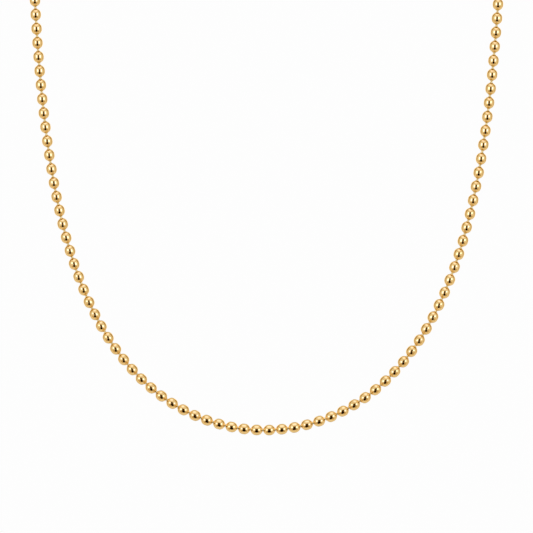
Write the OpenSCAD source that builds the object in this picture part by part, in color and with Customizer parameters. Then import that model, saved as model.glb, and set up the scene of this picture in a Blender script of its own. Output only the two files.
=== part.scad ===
// Ball chain necklace, worn form: hollow metal beads on short wire links, closed by a connector at the nape.
// Millimetres. +Z is up, -Y is the wearer's front. The origin is the middle of the neck that the loop hangs on.

/* [Beads] */
// Diameter of a bead across its waist
bead_d = 2.4; // [1.8:0.1:3]
// How much longer than round the shell of a bead is
bead_stretch = 0.3; // [0.2:0.05:0.4]
// Wall of the shell
bead_wall = 0.25; // [0.15:0.05:0.4]
// Diameter of the hole at each end of a bead
hole_d = 0.72; // [0.66:0.02:0.9]
// Height of the raised lip round a hole
lip_h = 0.02; // [0.01:0.01:0.06]
// Thickness of the lip at its rim
lip_t = 0.06; // [0.04:0.01:0.1]
// How much wider the lip is at its foot than at its rim
lip_flare = 0.08; // [0.06:0.02:0.16]

/* [Links] */
// Thickness of the link wire
link_d = 0.5; // [0.36:0.02:0.54]
// Gap between two beads at the bottom of the loop, where the links are slack
gap_low = 0.14; // [0.13:0.01:0.3]
// Gap between two beads up the sides and round the back, where the links are drawn out
gap_high = 0.48; // [0.36:0.02:0.6]
// Number of beads, counted from the bottom, over which the gap opens
slack_beads = 26; // [10:1:36]

/* [Loop] */
// Width that the two sides lean out to
loop_w = 110.4; // [100:0.2:130]
// Radius of the bend at the bottom
bottom_r = 39.2; // [34:0.2:50]
// Length of the flat front, from the bottom up to the bend over the shoulders
front_l = 101; // [85:1:130]
// Length of the closing curve, from the start of that bend to the nape
back_l = 75.6; // [60:0.2:90]
// How far the front leans back from upright
chest_lean = 20; // [0:1:30]
// Radius of the bend over the shoulders
shoulder_r = 42; // [40:1:55]
// How steeply the back rises towards the nape
nape_rise = 12; // [0:1:25]

/* [Clasp] */
// Distance between the two end beads, held inside the connector
clasp_pitch = 5.4; // [4:0.2:8]
// Wall of the connector
clasp_wall = 0.3; // [0.2:0.05:0.5]
// Clearance between the connector and what it holds
clasp_fit = 0.15; // [0.12:0.01:0.2]

/* [Hidden] */
$fn = 72;
gold = "#d9a84e";
pale_gold = "#e6c27a";
bead_r = bead_d / 2;
// Length of a bead over its two lips
bead_l = bead_d + bead_stretch + 2 * lip_h;
lip_rim_r = hole_d / 2 + lip_t;
lip_foot_r = lip_rim_r + lip_flare;
// Cuts reach this far past the faces that they pass through
cut = 0.1;
wire_sides = 8;
half_w = loop_w / 2;
// Fall of the front curve, whose radius at the bottom is half_w * half_w / (2 * fall)
fall = half_w * half_w / (2 * bottom_r);
loop_l = front_l + back_l;
// Angle that the loop is bent through over the shoulders, and the length of that bend
bend = 90 - chest_lean - nape_rise;
bend_l = shoulder_r * bend * PI / 180;
route_steps = 240;

// The loop is drawn flat first: how far it stands from its middle line at the height v above its bottom
function side_reach(v) =
    let (closing = min(1, max(0, v - front_l) / back_l))
    half_w * sqrt(1 - exp(-v / fall)) * sqrt(1 - closing * closing);

// Slope of the loop above level at the height v: the chest, then the bend over the shoulders, then the nape
function slope(v) = 90 - chest_lean - bend * min(1, max(0, v - front_l) / bend_l);

// Where that height lies once the loop is bent, as depth and height from the start of the bend
function bent(v) =
    v <= front_l
        ? (v - front_l) * [cos(slope(0)), sin(slope(0))]
        : shoulder_r * [sin(slope(0)) - sin(slope(v)), cos(slope(v)) - cos(slope(0))]
            + max(0, v - front_l - bend_l) * [cos(slope(v)), sin(slope(v))];

// The neck is as wide as the loop and touches the nape, halfway up from the start of the bend
neck_centre = [bent(loop_l)[0] - half_w, bent(loop_l)[1] / 2];

// A point of one half of the loop, from the bottom (t = 0) to the nape (t = 1)
function height_at(t) = loop_l * (1 - cos(180 * t)) / 2;
function loop_point(t) =
    let (v = height_at(t), p = bent(v) - neck_centre)
    [side_reach(v), p[0], p[1]];

// Length of the chain from the bottom to each step of the route
steps = [for (i = [0:route_steps]) loop_point(i / route_steps)];
run = [
    for (i = 0, s = 0; i <= route_steps; i = i + 1, s = s + (i <= route_steps ? norm(steps[i] - steps[i - 1]) : 0))
        s
];
run_to_t = [for (i = [0:route_steps]) [run[i], i / route_steps]];
half_l = run[route_steps];

// Distance of bead k from the bottom, where the middle of a link is, before the chain is drawn to fit
pitch_low = bead_l + gap_low;
pitch_high = bead_l + gap_high;
function gaps_open(k) = k <= slack_beads ? k * (k - 1) / (2 * slack_beads) : k - (slack_beads + 1) / 2;
function bead_run(k) = (k + 0.5) * pitch_low + (pitch_high - pitch_low) * gaps_open(k);

// As many beads as fit between the bottom and the connector, drawn evenly to fill that length
chain_half_l = half_l - clasp_pitch / 2;
last_bead = floor(
    (chain_half_l - pitch_low / 2 + (pitch_high - pitch_low) * (slack_beads + 1) / 2) / pitch_high
);
draw = chain_half_l / bead_run(last_bead);

// Beads in order round the loop, each with its side and its distance from the bottom
stations = concat(
    [for (k = [last_bead:-1:0]) [-1, draw * bead_run(k)]],
    [for (k = [0:last_bead]) [1, draw * bead_run(k)]]
);
function half_point(s) = loop_point(lookup(s, run_to_t));
function mirrored(side, p) = [side * p[0], p[1], p[2]];
function centre(station) = mirrored(station[0], half_point(station[1]));

// Direction of the chain at a bead, read over a short stretch on each side of its centre
function along(station) =
    let (
        side = station[0],
        s = station[1],
        d = half_point(s + bead_r / 2) - half_point(s - bead_r / 2)
    )
    side * mirrored(side, d) / norm(d);

// Direction away from the wearer at a bead, square to the chain
function outward(station) =
    let (a = slope(height_at(lookup(station[1], run_to_t))))
    [0, -sin(a), cos(a)];

// Turns the Z axis to the direction d and moves to the point p
module set_along(p, d) {
    translate(p)
        rotate([0, acos(d[2]), atan2(d[1], d[0])])
            children();
}

// Two balls that are a little apart on the Z axis, which make a shell slightly longer than round
module long_ball(r, apart) {
    translate([0, 0, apart / 2])
        sphere(r);
    translate([0, 0, -apart / 2])
        sphere(r);
}

// Raised lip round the hole at the top end of a bead
module lip() {
    foot_z = sqrt(pow(bead_r, 2) - pow(lip_foot_r, 2)) + bead_stretch / 2 - bead_wall / 2;
    translate([0, 0, foot_z])
        cylinder(h = bead_l / 2 - foot_z, r1 = lip_foot_r, r2 = lip_rim_r);
}

module bead() {
    difference() {
        union() {
            long_ball(bead_r, bead_stretch);
            lip();
            mirror([0, 0, 1])
                lip();
        }
        long_ball(bead_r - bead_wall, bead_stretch);
        cylinder(h = bead_l + 2 * cut, d = hole_d, center = true);
    }
}

module beads() {
    color(gold)
        for (station = stations)
            set_along(centre(station), along(station))
                bead();
}

// The row of link wires, which runs straight from the middle of each bead to the middle of the next
module links() {
    rings = [
        for (station = stations)
            let (out = outward(station), across = cross(along(station), out))
            for (i = [0:wire_sides - 1])
                let (a = 360 * i / wire_sides)
                centre(station) + link_d / 2 * (cos(a) * out + sin(a) * across)
    ];
    count = len(stations);
    sides = [
        for (j = [0:count - 2], i = [0:wire_sides - 1])
            let (next = (i + 1) % wire_sides, here = j * wire_sides, there = here + wire_sides)
            [here + i, here + next, there + next, there + i]
    ];
    first_end = [for (i = [wire_sides - 1:-1:0]) i];
    last_end = [for (i = [0:wire_sides - 1]) (count - 1) * wire_sides + i];
    color(pale_gold)
        polyhedron(points = rings, faces = concat([first_end, last_end], sides));
}

// Connector: a round-ended sheet tube with a hole at each end, a slot that the link wire slides along and a
// window that an end bead drops in through
module clasp() {
    inner_r = bead_r + clasp_fit;
    outer_r = inner_r + clasp_wall;
    end_bead = half_point(chain_half_l);
    seat_x = end_bead[0] + bead_stretch / 2;
    end_hole_r = lip_foot_r + clasp_fit;
    reach = seat_x + outer_r + cut;
    slot_w = link_d + 2 * clasp_fit;
    window_r = bead_r + clasp_fit / 2;
    color(gold)
        translate([0, end_bead[1], end_bead[2]])
            rotate([slope(loop_l), 0, 0])
                rotate([0, 90, 0])
                    difference() {
                        union() {
                            cylinder(h = 2 * seat_x, r = outer_r, center = true);
                            long_ball(outer_r, 2 * seat_x);
                        }
                        cylinder(h = 2 * seat_x, r = inner_r, center = true);
                        long_ball(inner_r, 2 * seat_x);
                        cylinder(h = 2 * reach, r = end_hole_r, center = true);
                        translate([0, -slot_w / 2, -reach])
                            cube([outer_r + cut, slot_w, 2 * reach]);
                        rotate([0, 90, 0])
                            cylinder(h = outer_r + cut, r = window_r);
                    }
}

beads();
links();
clasp();
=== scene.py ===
"""Ball chain necklace: polished gold beads on short wire links, closed by a connector at the nape."""

import math

import bmesh
import bpy
from mathutils import Matrix, Vector


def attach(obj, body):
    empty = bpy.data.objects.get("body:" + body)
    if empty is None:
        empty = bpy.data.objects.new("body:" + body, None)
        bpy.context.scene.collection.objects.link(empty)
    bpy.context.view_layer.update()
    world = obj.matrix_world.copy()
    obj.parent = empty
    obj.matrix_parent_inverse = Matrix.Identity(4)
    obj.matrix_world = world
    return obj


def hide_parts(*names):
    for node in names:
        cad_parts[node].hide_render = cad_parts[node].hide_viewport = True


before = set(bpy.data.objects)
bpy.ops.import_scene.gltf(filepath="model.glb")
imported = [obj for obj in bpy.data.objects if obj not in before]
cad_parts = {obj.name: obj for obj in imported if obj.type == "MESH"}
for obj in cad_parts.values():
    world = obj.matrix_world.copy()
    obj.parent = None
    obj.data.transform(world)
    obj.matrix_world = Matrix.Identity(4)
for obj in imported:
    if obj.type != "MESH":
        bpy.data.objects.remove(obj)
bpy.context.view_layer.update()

# Sizes are in millimetres unless a comment says otherwise. Blender's are in metres.
MM = 0.001

# Beads, as in the part's source
BEAD_D = 2.4
BEAD_STRETCH = 0.3
BEAD_WALL = 0.25
HOLE_D = 0.72
LIP_H = 0.02
LIP_T = 0.06
LIP_FLARE = 0.08
BEAD_L = BEAD_D + BEAD_STRETCH + 2 * LIP_H

# Rounding of a lip: how far its side bulges and how far down that is, how far across its thickness the crest
# stands, and how far the edge of the hole lies below the crest
LIP_BULGE = 0.008
LIP_BULGE_DROP = 0.035
LIP_CREST = 0.6
LIP_EDGE_DROP = 0.02

BEAD_SIDES = 24
SHELL_STEPS = 7
HOLLOW_STEPS = 2
BEAD_TURN_SEED = 7

# Links, and the gaps that they leave between the beads
LINK_D = 0.5
LINK_HEAD_D = 0.84
LINK_SLOT = 0.8
GAP_LOW = 0.14
GAP_HIGH = 0.48
SLACK_BEADS = 26

# The crown of a link's head is left open by this angle, round a bore of this radius that the bead hides
CROWN_ANGLE = 0.2
CROWN_R = 0.01

LINK_SIDES = 12
HEAD_STEPS = 5
LINK_TURN_SEED = 11

# The loop: a flat front that leans back, bent over the shoulders and closed round the nape
LOOP_W = 110.4
BOTTOM_R = 39.2
FRONT_L = 101.0
BACK_L = 75.6
CHEST_LEAN = math.radians(20)
SHOULDER_R = 42.0
NAPE_RISE = math.radians(12)
ROUTE_STEPS = 2000

# Connector: the distance between its two beads, its sheet and its clearance, as in the part's source
CLASP_PITCH = 5.4
CLASP_WALL = 0.3
CLASP_FIT = 0.15

# Rows of points on the connector: over a rounded edge, along the sheet and across it
EDGE_STEPS = 5
ALONG_STEPS = 84
ACROSS_STEPS = 72

# How softly the connector's slot widens into its window, and the widest that both may be, in radii of the tube
OPENING_SOFTNESS = 0.12
WIDEST_OPENING = 0.95

# Sheet thinner than this is closed to an edge
CLOSED = 1e-6

# Radius of the ring that a half section is swept round, far outside the section
HUB = 10.0

HALF_W = LOOP_W / 2
FALL = HALF_W**2 / (2 * BOTTOM_R)
LOOP_L = FRONT_L + BACK_L
CHEST_SLOPE = math.pi / 2 - CHEST_LEAN
BEND = CHEST_SLOPE - NAPE_RISE
BEND_L = SHOULDER_R * BEND


# The route of the chain

def slope(height):
    """Angle above level of the surface that the loop lies on, at a height along it."""
    return CHEST_SLOPE - BEND * min(1.0, max(0.0, height - FRONT_L) / BEND_L)


def bent(height):
    """Depth and rise of that height, measured from the start of the bend over the shoulders."""
    if height <= FRONT_L:
        return (height - FRONT_L) * math.cos(CHEST_SLOPE), (height - FRONT_L) * math.sin(CHEST_SLOPE)
    a = slope(height)
    past = max(0.0, height - FRONT_L - BEND_L)
    depth = SHOULDER_R * (math.sin(CHEST_SLOPE) - math.sin(a)) + past * math.cos(a)
    rise = SHOULDER_R * (math.cos(a) - math.cos(CHEST_SLOPE)) + past * math.sin(a)
    return depth, rise


NECK_DEPTH = bent(LOOP_L)[0] - HALF_W
NECK_RISE = bent(LOOP_L)[1] / 2


def loop_point(t):
    """A point of the right half of the loop, from the bottom (t = 0) to the nape (t = 1)."""
    height = LOOP_L * (1 - math.cos(math.pi * t)) / 2
    closing = min(1.0, max(0.0, height - FRONT_L) / BACK_L)
    reach = HALF_W * math.sqrt(1 - math.exp(-height / FALL)) * math.sqrt(1 - closing**2)
    depth, rise = bent(height)
    return Vector((reach, depth - NECK_DEPTH, rise - NECK_RISE))


def route():
    """Lengths along the half loop, with the points at those lengths."""
    points = [loop_point(i / ROUTE_STEPS) for i in range(ROUTE_STEPS + 1)]
    lengths = [0.0]
    for a, b in zip(points, points[1:]):
        lengths.append(lengths[-1] + (b - a).length)
    return lengths, points


ROUTE_LENGTHS, ROUTE_POINTS = route()


def half_point(length):
    """The point of the right half at a length from the bottom. A negative length is on the left half."""
    side = -1 if length < 0 else 1
    want = min(abs(length), ROUTE_LENGTHS[-1])
    low, high = 0, ROUTE_STEPS
    while high - low > 1:
        middle = (low + high) // 2
        if ROUTE_LENGTHS[middle] <= want:
            low = middle
        else:
            high = middle
    share = (want - ROUTE_LENGTHS[low]) / (ROUTE_LENGTHS[high] - ROUTE_LENGTHS[low])
    p = ROUTE_POINTS[low].lerp(ROUTE_POINTS[high], share)
    return Vector((side * p.x, p.y, p.z))


def bead_lengths():
    """Distances of the beads from the bottom, from the left end of the chain to the right end."""
    low, high = BEAD_L + GAP_LOW, BEAD_L + GAP_HIGH

    def run(k):
        """Distance of bead k from the bottom, before the chain is drawn evenly to fill its length."""
        opened = k * (k - 1) / (2 * SLACK_BEADS) if k <= SLACK_BEADS else k - (SLACK_BEADS + 1) / 2
        return (k + 0.5) * low + (high - low) * opened

    chain_half = ROUTE_LENGTHS[-1] - CLASP_PITCH / 2
    last = math.floor((chain_half - low / 2 + (high - low) * (SLACK_BEADS + 1) / 2) / high)
    draw = chain_half / run(last)
    right = [draw * run(k) for k in range(last + 1)]
    return [-s for s in reversed(right)] + right


BEAD_LENGTHS = bead_lengths()
BEAD_CENTRES = [half_point(s) for s in BEAD_LENGTHS]


def chain_direction(length):
    """Direction of the chain, read over half a bead at a length from the bottom."""
    reach = BEAD_D / 4
    return (half_point(length + reach) - half_point(length - reach)).normalized()


def bead_slack():
    """How slack the chain is at each bead: 1 at the bottom, and 0 up the sides, where it is drawn out."""
    right = [max(0.0, 1 - k / SLACK_BEADS) for k in range(len(BEAD_CENTRES) // 2)]
    return right[::-1] + right


# Small helpers

def new_object(name, mesh):
    obj = bpy.data.objects.new(name, mesh)
    bpy.context.scene.collection.objects.link(obj)
    return obj


def points_object(name, places, directions, slack):
    """Loose points, each with the direction that its piece lies along and, if given, how slack the chain is."""
    mesh = bpy.data.meshes.new(name)
    mesh.from_pydata([p * MM for p in places], [], [])
    along = mesh.attributes.new("along", "FLOAT_VECTOR", "POINT")
    along.data.foreach_set("vector", [c for d in directions for c in d])
    if slack is not None:
        mesh.attributes.new("slack", "FLOAT", "POINT").data.foreach_set("value", slack)
    return new_object(name, mesh)


def profile_object(name, outline):
    """A closed outline of (radius, height) pairs, ready to be turned round the Z axis."""
    mesh = bpy.data.meshes.new(name)
    count = len(outline)
    edges = [(i, (i + 1) % count) for i in range(count)]
    mesh.from_pydata([(r * MM, h * MM, 0) for r, h in outline], edges, [])
    return new_object(name, mesh)


def arc(centre_h, radius, start, end, steps):
    """Points of an arc about (0, centre_h), from the angle start to the angle end above the waist."""
    angles = [start + (end - start) * i / steps for i in range(steps + 1)]
    return [(radius * math.cos(a), centre_h + radius * math.sin(a)) for a in angles]


def mirrored(upper):
    """The lower half of an outline whose upper half is given."""
    return [(x, -h) for x, h in reversed(upper)]


# Nodes, for shapes and for finishes

# Places of the colour sockets of a Mix node, and of the number sockets of a Random Value node
MIX_COLOURS = (6, 7)
MIX_RESULT = 2
RANDOM_MOST = 3
RANDOM_VALUE = 1


def add_node(tree, kind, **settings):
    node = tree.nodes.new(kind)
    for name, value in settings.items():
        setattr(node, name, value)
    return node


def add_sockets(tree, sockets):
    """Gives a node group its sockets, each a name, a side and a kind."""
    for name, side, kind in sockets:
        tree.interface.new_socket(name=name, in_out=side, socket_type=kind)


def feed(tree, socket, value):
    """Gives a socket another node's output or a plain value."""
    if isinstance(value, bpy.types.NodeSocket):
        tree.links.new(value, socket)
    else:
        socket.default_value = value


def calc(tree, operation, a, b=0.0):
    """Output of a Math node on two sockets or numbers."""
    node = add_node(tree, "ShaderNodeMath", operation=operation)
    for socket, value in zip(node.inputs, (a, b)):
        feed(tree, socket, value)
    return node.outputs[0]


def blend_colours(tree, mask, first, second):
    """Output of a Mix node that goes from the first colour to the second."""
    node = add_node(tree, "ShaderNodeMix", data_type="RGBA")
    tree.links.new(mask, node.inputs["Factor"])
    for place, value in zip(MIX_COLOURS, (first, second)):
        feed(tree, node.inputs[place], (*value, 1) if isinstance(value, tuple) else value)
    return node.outputs[MIX_RESULT]


def ramp(tree, value, low, high, out_low=0.0, out_high=1.0):
    """Output of a smooth Map Range node on sockets or numbers."""
    node = add_node(tree, "ShaderNodeMapRange", interpolation_type="SMOOTHSTEP")
    feed(tree, node.inputs["Value"], value)
    feed(tree, node.inputs["From Min"], low)
    feed(tree, node.inputs["From Max"], high)
    feed(tree, node.inputs["To Min"], out_low)
    feed(tree, node.inputs["To Max"], out_high)
    return node.outputs["Result"]


# Turned pieces

def turned_pieces_tree():
    """Turns an outline into a round piece and sets one on every point, along that point's direction."""
    tree = bpy.data.node_groups.new("turned pieces", "GeometryNodeTree")
    add_sockets(tree, (
        ("Places", "INPUT", "NodeSocketGeometry"),
        ("Outline", "INPUT", "NodeSocketObject"),
        ("Sides", "INPUT", "NodeSocketInt"),
        ("Half Length", "INPUT", "NodeSocketFloat"),
        ("Turn Seed", "INPUT", "NodeSocketInt"),
        ("Finish", "INPUT", "NodeSocketMaterial"),
        ("Pieces", "OUTPUT", "NodeSocketGeometry"),
    ))
    link = tree.links.new
    given = add_node(tree, "NodeGroupInput")
    result = add_node(tree, "NodeGroupOutput")

    # The outline is swept round a ring
    outline = add_node(tree, "GeometryNodeObjectInfo")
    link(given.outputs["Outline"], outline.inputs["Object"])
    outline_curve = add_node(tree, "GeometryNodeMeshToCurve")
    link(outline.outputs["Geometry"], outline_curve.inputs["Mesh"])
    circle = add_node(tree, "GeometryNodeCurvePrimitiveCircle")
    circle.inputs["Radius"].default_value = HUB * MM
    link(given.outputs["Sides"], circle.inputs["Resolution"])
    turned = add_node(tree, "GeometryNodeCurveToMesh")
    link(circle.outputs["Curve"], turned.inputs["Curve"])
    link(outline_curve.outputs["Curve"], turned.inputs["Profile Curve"])
    smooth = add_node(tree, "GeometryNodeSetShadeSmooth")
    link(turned.outputs["Mesh"], smooth.inputs["Geometry"])

    # Each point of the piece keeps how near it is to the piece's end, for the finish and for the light and
    # shade painted at the ends
    place = add_node(tree, "GeometryNodeInputPosition")
    parts = add_node(tree, "ShaderNodeSeparateXYZ")
    link(place.outputs["Position"], parts.inputs["Vector"])
    height = calc(tree, "ABSOLUTE", parts.outputs["Z"])
    to_end = add_node(tree, "GeometryNodeStoreNamedAttribute", data_type="FLOAT", domain="POINT")
    to_end.inputs["Name"].default_value = "to_end"
    link(smooth.outputs["Geometry"], to_end.inputs["Geometry"])
    link(calc(tree, "DIVIDE", height, given.outputs["Half Length"]), to_end.inputs["Value"])

    # Each piece is stood along the chain and turned about itself by a random angle
    along = add_node(tree, "GeometryNodeInputNamedAttribute", data_type="FLOAT_VECTOR")
    along.inputs["Name"].default_value = "along"
    upright = add_node(tree, "FunctionNodeAlignRotationToVector", axis="Z")
    link(along.outputs["Attribute"], upright.inputs["Vector"])
    turn = add_node(tree, "FunctionNodeRandomValue", data_type="FLOAT")
    turn.inputs[RANDOM_MOST].default_value = math.tau
    link(given.outputs["Turn Seed"], turn.inputs["Seed"])
    spin = add_node(tree, "FunctionNodeAxisAngleToRotation")
    spin.inputs["Axis"].default_value = (0, 0, 1)
    link(turn.outputs[RANDOM_VALUE], spin.inputs["Angle"])
    spun = add_node(tree, "FunctionNodeRotateRotation", rotation_space="LOCAL")
    link(upright.outputs["Rotation"], spun.inputs["Rotation"])
    link(spin.outputs["Rotation"], spun.inputs["Rotate By"])

    placed = add_node(tree, "GeometryNodeInstanceOnPoints")
    link(given.outputs["Places"], placed.inputs["Points"])
    link(to_end.outputs["Geometry"], placed.inputs["Instance"])
    link(spun.outputs["Rotation"], placed.inputs["Rotation"])
    real = add_node(tree, "GeometryNodeRealizeInstances")
    link(placed.outputs["Instances"], real.inputs["Geometry"])
    finish = add_node(tree, "GeometryNodeSetMaterial")
    link(real.outputs["Geometry"], finish.inputs["Geometry"])
    link(given.outputs["Finish"], finish.inputs["Material"])
    link(finish.outputs["Geometry"], result.inputs["Pieces"])
    return tree


def turned_pieces(name, tree, places, directions, outline, sides, finish, seed, slack=None):
    """One plain mesh of round pieces, one at each place, made by the tree."""
    holder = points_object(name, places, directions, slack)
    profile = profile_object(name + "_outline", [(r - HUB, h) for r, h in outline])
    modifier = holder.modifiers.new("turned", "NODES")
    modifier.node_group = tree
    half_length = max(h for r, h in outline) * MM
    values = {
        "Outline": profile, "Sides": sides, "Half Length": half_length, "Turn Seed": seed, "Finish": finish,
    }
    for item in tree.interface.items_tree:
        if item.in_out == "INPUT" and item.name in values:
            modifier[item.identifier] = values[item.name]
    bpy.context.view_layer.update()
    evaluated = holder.evaluated_get(bpy.context.evaluated_depsgraph_get())
    mesh = bpy.data.meshes.new_from_object(evaluated)
    mesh.name = name
    holder.modifiers.remove(modifier)
    points = holder.data
    holder.data = mesh
    bpy.data.meshes.remove(points)
    bpy.data.objects.remove(profile)
    return holder


# Gold finishes, with light and shade painted on the ends of the beads

# How deep hairlines and pits are beside each other, how much finer the rubbed patches are than the cloudy tint,
# and how strongly all of them show
HAIRLINE_DEPTH = 0.5
PIT_DEPTH = 0.8
RUBBED_FINENESS = 3.1
MARKS_STRENGTH = 0.5

# Ends of a bead: a ring of painted shade, a duller gold, at the foot of each lip where the chain is drawn out,
# and painted light, a paler gold, over the ends where it is slack. As shares of the way from its waist to its
# top, the ring at the foot of a lip starts and is full, and then gives way to the lip.
PAINTED_SHADE_RING_COLOUR = (0.6, 0.49, 0.22)
# Painted light: paler gold over the ends of the beads where the chain is slack
PAINTED_LIGHT_END_COLOUR = (1.0, 0.8, 0.42)
LIP_ROUGHNESS = 0.4
RING_STARTS = 0.84
RING_FULL = 0.91
LIP_FULL = 0.95


def polish_marks_group():
    """Marks that tumbling and plating leave on polished metal: cloudy tint, rubbed patches, hairlines, pits."""
    group = bpy.data.node_groups.new("polish marks", "ShaderNodeTree")
    add_sockets(group, (
        ("Patch Scale", "INPUT", "NodeSocketFloat"),
        ("Hairline Scale", "INPUT", "NodeSocketFloat"),
        ("Pit Scale", "INPUT", "NodeSocketFloat"),
        ("Cloud", "OUTPUT", "NodeSocketFloat"),
        ("Rubbed", "OUTPUT", "NodeSocketFloat"),
        ("Hairlines", "OUTPUT", "NodeSocketFloat"),
        ("Height", "OUTPUT", "NodeSocketFloat"),
    ))
    given = add_node(group, "NodeGroupInput")
    result = add_node(group, "NodeGroupOutput")
    place = add_node(group, "ShaderNodeTexCoord").outputs["Object"]

    def noise(scale, detail, stretch=(1, 1, 1), turn=(0, 0, 0)):
        mapping = add_node(group, "ShaderNodeMapping")
        mapping.inputs["Scale"].default_value = stretch
        mapping.inputs["Rotation"].default_value = turn
        group.links.new(place, mapping.inputs["Vector"])
        node = add_node(group, "ShaderNodeTexNoise")
        group.links.new(mapping.outputs["Vector"], node.inputs["Vector"])
        group.links.new(scale, node.inputs["Scale"])
        node.inputs["Detail"].default_value = detail
        return node.outputs["Fac"]

    patch_scale = given.outputs["Patch Scale"]
    line_scale = given.outputs["Hairline Scale"]
    cloud = ramp(group, noise(patch_scale, detail=2), low=0.3, high=0.7)
    rubbed_scale = calc(group, "MULTIPLY", patch_scale, RUBBED_FINENESS)
    rubbed = ramp(group, noise(rubbed_scale, detail=4), low=0.45, high=0.72)
    lines_a = noise(line_scale, detail=2, stretch=(1, 0.06, 0.5), turn=(0.5, 0.2, 0.7))
    lines_b = noise(line_scale, detail=2, stretch=(0.06, 0.7, 1), turn=(0.1, 0.9, 0.3))
    lines_a = ramp(group, lines_a, low=0.6, high=0.72)
    lines_b = ramp(group, lines_b, low=0.62, high=0.74)
    hairlines = calc(group, "MAXIMUM", lines_a, lines_b)
    pits = add_node(group, "ShaderNodeTexVoronoi")
    group.links.new(place, pits.inputs["Vector"])
    group.links.new(given.outputs["Pit Scale"], pits.inputs["Scale"])
    pitted = ramp(group, pits.outputs["Distance"], low=0.06, high=0.16, out_low=1, out_high=0)
    lines_sunk = calc(group, "MULTIPLY", hairlines, HAIRLINE_DEPTH)
    pits_sunk = calc(group, "MULTIPLY", pitted, PIT_DEPTH)
    sunk = calc(group, "ADD", lines_sunk, pits_sunk)
    group.links.new(cloud, result.inputs["Cloud"])
    group.links.new(rubbed, result.inputs["Rubbed"])
    group.links.new(hairlines, result.inputs["Hairlines"])
    group.links.new(calc(group, "SUBTRACT", 1.0, sunk), result.inputs["Height"])
    return group


def finish_ends_and_paint_light_and_shade(tree, colour, rough):
    """Colour and roughness of a bead with its ends finished, and with light and shade painted on them.

    Each lip is satin and has a ring of painted shade, a duller gold, at its foot. Where the chain is slack, lip
    and ring are a paler gold instead, which is painted light, as the ends of the beads look in the photograph.
    """
    near_hole = add_node(tree, "ShaderNodeAttribute", attribute_name="to_end").outputs["Fac"]
    slack = add_node(tree, "ShaderNodeAttribute", attribute_name="slack").outputs["Fac"]
    at_end = ramp(tree, near_hole, RING_STARTS, RING_FULL)
    on_lip = ramp(tree, near_hole, RING_FULL, LIP_FULL)
    ring = calc(tree, "SUBTRACT", at_end, on_lip)
    drawn_out = calc(tree, "SUBTRACT", 1.0, slack)
    # Painted shade: a darker, duller gold ring at the foot of each lip, up the sides where the chain is drawn
    # out
    colour = blend_colours(tree, calc(tree, "MULTIPLY", ring, drawn_out), colour, PAINTED_SHADE_RING_COLOUR)
    # Painted light: the ends of the beads are a paler gold where the chain is slack
    colour = blend_colours(tree, calc(tree, "MULTIPLY", at_end, slack), colour, PAINTED_LIGHT_END_COLOUR)
    rough = calc(tree, "ADD", rough, calc(tree, "MULTIPLY", on_lip, LIP_ROUGHNESS))
    return colour, rough


def plated_metal(name, marks_group, light, deep, edge_tint, roughness, rub, relief, scales, ends=False):
    """Gold plating over metal, cloudy from its light tint to its deep one.

    rub is how much rougher it is where it is rubbed or scratched, relief is the height of its marks in metres,
    and scales are those of its patches, hairlines and pits.
    """
    material = bpy.data.materials.new(name)
    material.use_nodes = True
    tree = material.node_tree
    shader = tree.nodes["Principled BSDF"]
    shader.inputs["Metallic"].default_value = 1
    shader.inputs["Specular Tint"].default_value = (*edge_tint, 1)
    marks = add_node(tree, "ShaderNodeGroup", node_tree=marks_group)
    for socket, scale in zip(("Patch Scale", "Hairline Scale", "Pit Scale"), scales):
        marks.inputs[socket].default_value = scale
    colour = blend_colours(tree, marks.outputs["Cloud"], light, deep)
    rough = calc(tree, "MULTIPLY", marks.outputs["Rubbed"], rub)
    rough = calc(tree, "ADD", rough, calc(tree, "MULTIPLY", marks.outputs["Hairlines"], rub))
    rough = calc(tree, "ADD", rough, roughness)
    # The bead ends get satin lips, a ring of painted shade, and painted light where the chain is slack
    if ends:
        colour, rough = finish_ends_and_paint_light_and_shade(tree, colour, rough)
    tree.links.new(colour, shader.inputs["Base Color"])
    tree.links.new(rough, shader.inputs["Roughness"])
    bump = add_node(tree, "ShaderNodeBump")
    bump.inputs["Strength"].default_value = MARKS_STRENGTH
    bump.inputs["Distance"].default_value = relief
    tree.links.new(marks.outputs["Height"], bump.inputs["Height"])
    tree.links.new(bump.outputs["Normal"], shader.inputs["Normal"])
    return material


marks_group = polish_marks_group()
bead_gold = plated_metal(
    "polished_gold", marks_group,
    light=(0.952, 0.643, 0.274), deep=(0.902, 0.597, 0.236), edge_tint=(0.93, 0.75, 0.45),
    roughness=0.035, rub=0.03, relief=2e-7, scales=(900, 5200, 4200), ends=True,
)
wire_gold = plated_metal(
    "wire_gold", marks_group,
    light=(0.98, 0.72, 0.31), deep=(0.93, 0.67, 0.27), edge_tint=(0.9, 0.76, 0.5),
    roughness=0.45, rub=0.06, relief=4e-7, scales=(1500, 7000, 6000),
)
sheet_gold = plated_metal(
    "sheet_gold", marks_group,
    light=(0.95, 0.6, 0.235), deep=(0.89, 0.545, 0.2), edge_tint=(0.93, 0.75, 0.45),
    roughness=0.11, rub=0.08, relief=8e-7, scales=(700, 3600, 3000),
)


# Beads and links

def bead_outline():
    """Half section of the hollow bead: round its shell, over the lip at the hole and back inside."""
    r = BEAD_D / 2
    hole = HOLE_D / 2
    middle = BEAD_STRETCH / 2
    top = BEAD_L / 2
    rim = hole + LIP_T
    foot_angle = math.acos((rim + LIP_FLARE / 2) / r)
    inner_r = r - BEAD_WALL
    inner_angle = math.acos(hole / inner_r)
    shell = arc(middle, r, 0, foot_angle, SHELL_STEPS)
    lip = [
        (rim + LIP_BULGE, top - LIP_BULGE_DROP),
        (hole + LIP_CREST * LIP_T, top),
        (hole, top - LIP_EDGE_DROP),
    ]
    hollow = arc(middle, inner_r, inner_angle, 0, HOLLOW_STEPS)
    upper = shell + lip + hollow
    return upper + mirrored(upper)


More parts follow.
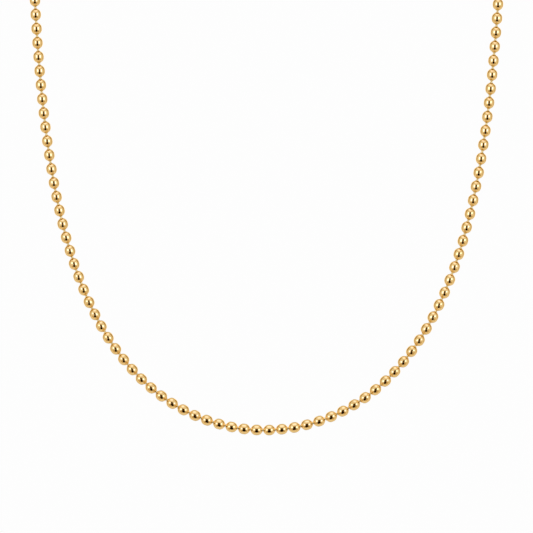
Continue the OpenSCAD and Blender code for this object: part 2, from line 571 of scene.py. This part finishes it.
def link_outline():
    """Half section of one link: a wire with a round head at each end."""
    wire = LINK_D / 2
    hole = HOLE_D / 2
    head = LINK_HEAD_D / 2
    seat = math.sqrt(head**2 - hole**2)
    inner_top = math.sqrt((BEAD_D / 2 - BEAD_WALL)**2 - hole**2) + BEAD_STRETCH / 2
    half = (BEAD_L + GAP_HIGH) / 2 - (inner_top - seat)
    neck = math.acos(wire / head)
    upper = [(wire, 0)] + arc(half, head, -neck, math.pi / 2 - CROWN_ANGLE, HEAD_STEPS)
    bore = [(CROWN_R, half), (CROWN_R, -half)]
    return upper + bore + mirrored(upper)[:-1]


tree = turned_pieces_tree()
beads = turned_pieces(
    "bead_row", tree, BEAD_CENTRES, [chain_direction(s) for s in BEAD_LENGTHS], bead_outline(), BEAD_SIDES,
    bead_gold, BEAD_TURN_SEED, bead_slack(),
)
pairs = list(zip(BEAD_CENTRES, BEAD_CENTRES[1:]))
links = turned_pieces(
    "link_row", tree, [(a + b) / 2 for a, b in pairs], [(b - a).normalized() for a, b in pairs],
    link_outline(), LINK_SIDES, wire_gold, LINK_TURN_SEED,
)

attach(beads, "root")
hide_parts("beads")
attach(links, "root")
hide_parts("links")


# Connector

def sheet_rows(width, steps):
    """Distances of the rows of points over a width of sheet, closer together over its two rounded edges."""
    half_wall = CLASP_WALL / 2
    edge = [half_wall * (1 - math.cos(math.pi / 2 * i / EDGE_STEPS)) for i in range(EDGE_STEPS)]
    body = width - CLASP_WALL
    middle = [half_wall + body * i / steps for i in range(steps + 1)]
    return edge + middle + [width - d for d in reversed(edge)]


def connector_rings():
    """Rings of the sheet's middle surface: place along the axis, radius, lean and distance from an end hole."""
    r = BEAD_D / 2 + CLASP_FIT + CLASP_WALL / 2
    seat = BEAD_CENTRES[-1].x + BEAD_STRETCH / 2
    hole = math.asin((HOLE_D / 2 + LIP_T + LIP_FLARE + CLASP_FIT) / r)
    cap_l = r * (math.pi / 2 - hole)
    total = 2 * cap_l + 2 * seat
    rings = []
    for station in sheet_rows(total, ALONG_STEPS):
        to_end = min(station, total - station)
        side = -1 if station < total / 2 else 1
        if to_end < cap_l:
            a = hole + to_end / r
            rings.append((side * (seat + r * math.cos(a)), r * math.sin(a), side * math.cos(a), to_end))
        else:
            rings.append((station - total / 2, r, 0.0, to_end))
    return rings


def opening_half_width(x):
    """Half width of the opening: a slot for the link wire that widens softly into a window for a bead."""
    slot = LINK_SLOT / 2
    window_r = BEAD_D / 2 + CLASP_FIT / 2
    window = math.sqrt(max(0.0, window_r**2 - x**2))
    power = 1 / OPENING_SOFTNESS
    return (slot**power + window**power)**OPENING_SOFTNESS


def connector():
    """Sheet-metal connector: a round-ended tube with rounded edges along its slot, window and end holes."""
    half_wall = CLASP_WALL / 2
    away = Vector((0, -math.sin(NAPE_RISE), math.cos(NAPE_RISE)))
    axis = Vector((1, 0, 0))
    aside = axis.cross(away)
    end_bead = BEAD_CENTRES[-1]
    middle = Vector((0, end_bead.y, end_bead.z))
    mesh = bmesh.new()
    outer_rows, inner_rows = [], []
    for x, r, lean, to_hole in connector_rings():
        half_opening = math.asin(min(WIDEST_OPENING, opening_half_width(x) / r))
        turn_l = r * (math.tau - 2 * half_opening)
        outer, inner = [], []
        for across in sheet_rows(turn_l, ACROSS_STEPS):
            to_edge = min(across, turn_l - across, to_hole)
            share = 1 - min(1.0, to_edge / half_wall)
            thick = half_wall * math.sqrt(max(0.0, 1 - share**2))
            a = math.pi + half_opening + across / r
            radial = math.cos(a) * away + math.sin(a) * aside
            normal = lean * axis + math.sqrt(1 - lean**2) * radial
            place = middle + x * axis + r * radial
            outer.append(mesh.verts.new((place + thick * normal) * MM))
            inner.append(mesh.verts.new((place - thick * normal) * MM) if thick > CLOSED else outer[-1])
        outer_rows.append(outer)
        inner_rows.append(inner)
    for rows in (outer_rows, inner_rows):
        for here, there in zip(rows, rows[1:]):
            for i in range(len(here) - 1):
                mesh.faces.new((here[i], here[i + 1], there[i + 1], there[i]))
    bmesh.ops.recalc_face_normals(mesh, faces=mesh.faces)
    for face in mesh.faces:
        face.smooth = True
    data = bpy.data.meshes.new("connector")
    mesh.to_mesh(data)
    mesh.free()
    data.materials.append(sheet_gold)
    return new_object("connector", data)


clasp = connector()
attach(clasp, "root")
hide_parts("clasp")


# Studio

# The picture's width and the width of a bead in it, in pixels
PHOTO_W = 533
BEAD_PX = 10.5

# The camera looks at a point this far to the right of the bottom of the loop and up its front, and is turned a
# little, as the photograph is
AIM_RIGHT = 0.5
AIM_UP = 37.4
CAMERA_ROLL = math.radians(0.47)
SENSOR_W = 36

# In metres: the camera's distance, the floor's height and half its width
CAMERA_AWAY = 1.2
FLOOR_Z = -0.2
FLOOR_HALF_W = 6

# Panels of the studio as the necklace sees them, each laid over those before it. Angles are in degrees: across
# from the camera to either side, and up from its level. An overhead panel goes by its reach to the side, and by
# its angle over the camera. Each panel has its kind, then the middle and half width across, the middle and half
# width up, the width of its soft edge, and the light that comes from it.
# Most of these values, the tent's light and the colours of the beads' and the wire's gold come from a program
# that fitted rendered beads to averaged beads of the photograph. They were rounded afterwards.
PANELS = (
    ("level", 0, 80, -44, 18.5, 12, (0.61, 0.49, 0.3)),
    ("level", 113, 18, 2.5, 26, 18, (0.62, 0.565, 0.465)),
    ("level", 114, 24, 37.5, 18, 18, (0.44, 0.34, 0.19)),
    ("level", 180, 7, -6, 36, 6, (0.4, 0.35, 0.2)),
    ("level", 160.5, 9, 10, 20, 5, (1.55, 1.6, 1.3)),
    ("overhead", 0, 19.5, 76.5, 21.5, 14, (1.39, 1.44, 2.05)),
    ("level", 41.5, 12.5, 7, 13, 6, (2.2, 2.75, 4.1)),
    ("level", 0, 15, -18, 43, 4, (0.06, 0.031, 0.0)),
    ("level", 0, 28.5, -33.5, 16.5, 8, (0.0, 0.0, 0.0)),
)

# Light of the white tent round the panels, and of the backdrop and floor that the camera sees
TENT = (0.84, 0.855, 0.855)
BACKDROP = 0.985

chest_up = Vector((0, math.cos(CHEST_SLOPE), math.sin(CHEST_SLOPE)))
to_camera = Vector((0, -math.sin(CHEST_SLOPE), math.cos(CHEST_SLOPE)))


def add_camera():
    """Camera square to the flat front of the loop, framed as the photograph is."""
    right = Vector((1, 0, 0))
    aim = (half_point(0) + AIM_RIGHT * right + AIM_UP * chest_up) * MM
    data = bpy.data.cameras.new("camera")
    camera = new_object("camera", data)
    turn = Matrix((right, chest_up, to_camera)).transposed().to_4x4()
    roll = Matrix.Rotation(CAMERA_ROLL, 4, "Z")
    camera.matrix_world = Matrix.Translation(aim + to_camera * CAMERA_AWAY) @ turn @ roll
    view_w = PHOTO_W * BEAD_D / BEAD_PX * MM
    data.sensor_width = SENSOR_W
    data.lens = SENSOR_W * CAMERA_AWAY / view_w
    data.clip_start = 0.01
    data.clip_end = 50
    bpy.context.scene.camera = camera


def soft_panel_group():
    """A panel with soft edges, placed by two angles in degrees. The mask is 1 on it and 0 off it."""
    group = bpy.data.node_groups.new("soft panel", "ShaderNodeTree")
    inputs = ("Across", "Up", "Across Centre", "Across Half", "Up Centre", "Up Half", "Softness")
    add_sockets(group, [(name, "INPUT", "NodeSocketFloat") for name in inputs])
    add_sockets(group, [("Mask", "OUTPUT", "NodeSocketFloat")])
    given = add_node(group, "NodeGroupInput").outputs
    result = add_node(group, "NodeGroupOutput")

    def inside(angle, centre, half):
        away = calc(group, "ABSOLUTE", calc(group, "SUBTRACT", angle, centre))
        reach = calc(group, "MULTIPLY", given["Softness"], 0.5)
        full, gone = calc(group, "SUBTRACT", half, reach), calc(group, "ADD", half, reach)
        return ramp(group, away, full, gone, out_low=1, out_high=0)

    across = inside(given["Across"], given["Across Centre"], given["Across Half"])
    up = inside(given["Up"], given["Up Centre"], given["Up Half"])
    group.links.new(calc(group, "MULTIPLY", across, up), result.inputs["Mask"])
    return group


def direction_share(tree, direction, axis):
    """How much of a direction lies along an axis."""
    node = add_node(tree, "ShaderNodeVectorMath", operation="DOT_PRODUCT")
    tree.links.new(direction, node.inputs[0])
    node.inputs[1].default_value = axis
    return node.outputs["Value"]


def studio_world():
    """White tent with the soft panels, and a pale backdrop where the camera looks past the necklace."""
    world = bpy.data.worlds.new("studio")
    bpy.context.scene.world = world
    world.use_nodes = True
    tree = world.node_tree
    panel_group = soft_panel_group()
    place = add_node(tree, "ShaderNodeTexCoord").outputs["Generated"]
    right = direction_share(tree, place, (1, 0, 0))
    up = direction_share(tree, place, chest_up)
    front = direction_share(tree, place, to_camera)

    def degrees(value):
        return calc(tree, "MULTIPLY", value, 180 / math.pi)

    across = calc(tree, "ABSOLUTE", degrees(calc(tree, "ARCTAN2", right, front)))
    level = degrees(calc(tree, "ARCSINE", up))
    aside = degrees(calc(tree, "ARCSINE", right))
    over = degrees(calc(tree, "ARCTAN2", up, front))
    light = TENT
    for kind, across_centre, across_half, up_centre, up_half, softness, panel_light in PANELS:
        panel = add_node(tree, "ShaderNodeGroup", node_tree=panel_group)
        tree.links.new(across if kind == "level" else aside, panel.inputs["Across"])
        tree.links.new(level if kind == "level" else over, panel.inputs["Up"])
        panel.inputs["Across Centre"].default_value = across_centre
        panel.inputs["Across Half"].default_value = across_half
        panel.inputs["Up Centre"].default_value = up_centre
        panel.inputs["Up Half"].default_value = up_half
        panel.inputs["Softness"].default_value = softness
        light = blend_colours(tree, panel.outputs["Mask"], light, panel_light)
    seen = add_node(tree, "ShaderNodeLightPath")
    light = blend_colours(tree, seen.outputs["Is Camera Ray"], light, (BACKDROP, BACKDROP, BACKDROP))
    tree.links.new(light, tree.nodes["Background"].inputs["Color"])
    tree.nodes["Background"].inputs["Strength"].default_value = 1


def add_floor():
    """Plain pale floor, as bright as the backdrop. Seen from below, it is clear."""
    corners = ((-1, -1), (1, -1), (1, 1), (-1, 1))
    data = bpy.data.meshes.new("floor")
    data.from_pydata([(x * FLOOR_HALF_W, y * FLOOR_HALF_W, FLOOR_Z) for x, y in corners], [], [(0, 1, 2, 3)])
    floor = new_object("floor", data)
    floor.visible_glossy = False
    material = bpy.data.materials.new("pale_floor")
    material.use_nodes = True
    tree = material.node_tree
    tree.nodes.remove(tree.nodes["Principled BSDF"])
    glow = add_node(tree, "ShaderNodeEmission")
    glow.inputs["Strength"].default_value = BACKDROP
    clear = add_node(tree, "ShaderNodeBsdfTransparent")
    side = add_node(tree, "ShaderNodeNewGeometry")
    mix = add_node(tree, "ShaderNodeMixShader")
    tree.links.new(side.outputs["Backfacing"], mix.inputs["Fac"])
    tree.links.new(glow.outputs["Emission"], mix.inputs[1])
    tree.links.new(clear.outputs["BSDF"], mix.inputs[2])
    tree.links.new(mix.outputs["Shader"], tree.nodes["Material Output"].inputs["Surface"])
    data.materials.append(material)


add_camera()
studio_world()
add_floor()
bpy.context.scene.view_settings.view_transform = "Standard"
